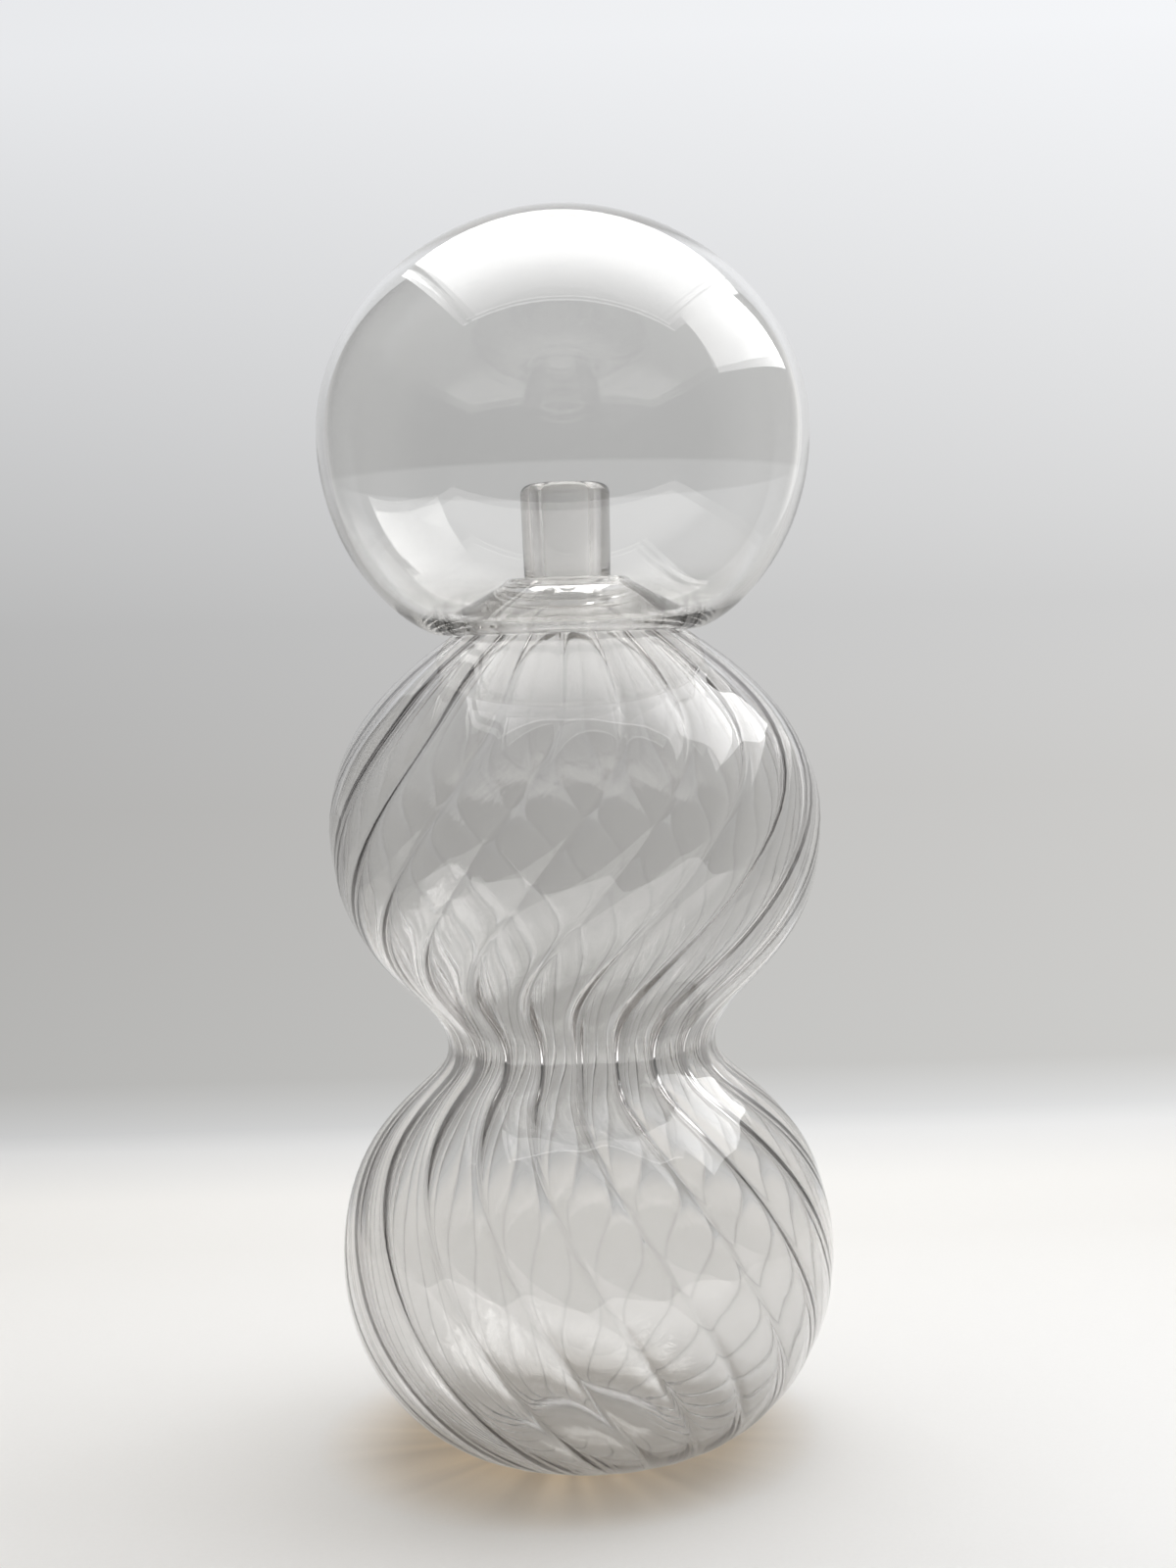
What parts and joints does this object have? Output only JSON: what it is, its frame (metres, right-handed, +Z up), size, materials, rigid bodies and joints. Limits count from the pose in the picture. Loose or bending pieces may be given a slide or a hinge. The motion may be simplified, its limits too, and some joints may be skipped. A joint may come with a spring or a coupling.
{
  "type": "double gourd vase with globe cover",
  "caption": "Clear blown glass double gourd vase with twisted optic ribs, a plain tube neck and a smooth closed globe that sits over the neck and lifts off.",
  "frame": {"origin": "centre of the foot, on the surface that the vase stands on", "axes": "+Z up along the axis of the vase, front facing -Y"},
  "size_m": [0.1538, 0.1538, 0.382],
  "materials": {
    "vase_glass": "clear polished",
    "globe_glass": "clear polished"
  },
  "bodies": {
    "vase": {"lower_bulb": "vase_glass", "upper_bulb": "vase_glass", "neck_tube": "vase_glass"},
    "globe_cover": {"globe": "globe_glass", "globe_collar": "globe_glass"}
  },
  "joints": [
    {"name": "globe_lift", "type": "slide", "parent": "vase", "child": "globe_cover", "axis": [0, 0, 1], "range_m": [0, 0.056]}
  ]
}
